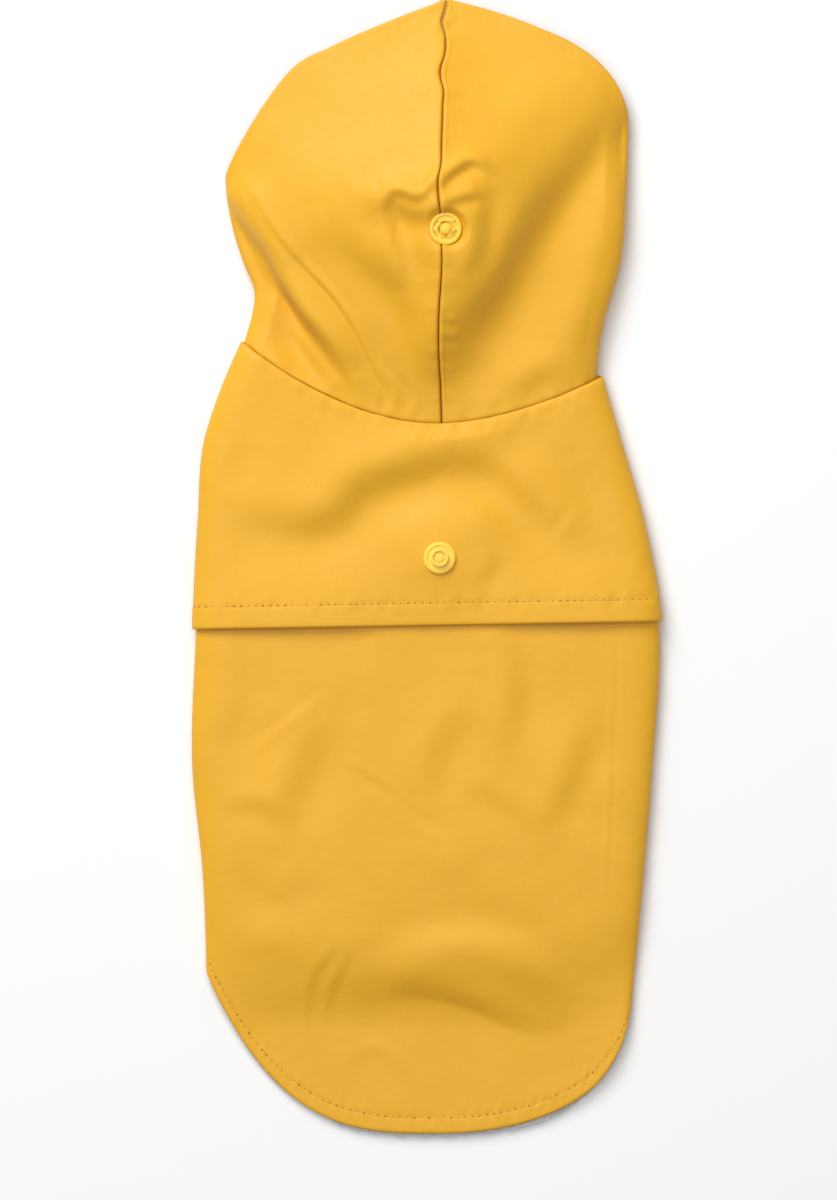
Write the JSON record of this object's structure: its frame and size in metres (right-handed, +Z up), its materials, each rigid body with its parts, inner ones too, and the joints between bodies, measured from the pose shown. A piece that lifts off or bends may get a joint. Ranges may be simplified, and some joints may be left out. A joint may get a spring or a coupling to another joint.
{
  "type": "dog raincoat",
  "caption": "Small dog's hooded raincoat in yellow coated cloth, laid flat back up, with a cape over the shoulders and press snaps on the hood and cape.",
  "frame": {"origin": "on the table, under the middle of the laid-out coat", "axes": "+Y from the tail to the hood's peak, +Z up out of the table through the back, +X to the right seen from above"},
  "size_m": [0.1892, 0.4546, 0.0273],
  "materials": {
    "coated_cloth": "matte-satin polyurethane-coated cloth, golden yellow",
    "terry_lining": "matte off-white terry",
    "snap_resin": "smooth moulded resin, lemon yellow"
  },
  "bodies": {
    "root": {"hood_left": "coated_cloth", "hood_right": "coated_cloth", "cape": "coated_cloth", "back": "coated_cloth", "belly_left": "coated_cloth", "belly_right": "coated_cloth", "lining": "terry_lining", "hood_snap_socket": "snap_resin", "hood_snap_cap": "snap_resin", "cape_snap_stud": "snap_resin", "cape_snap_cap": "snap_resin"}
  },
  "joints": []
}
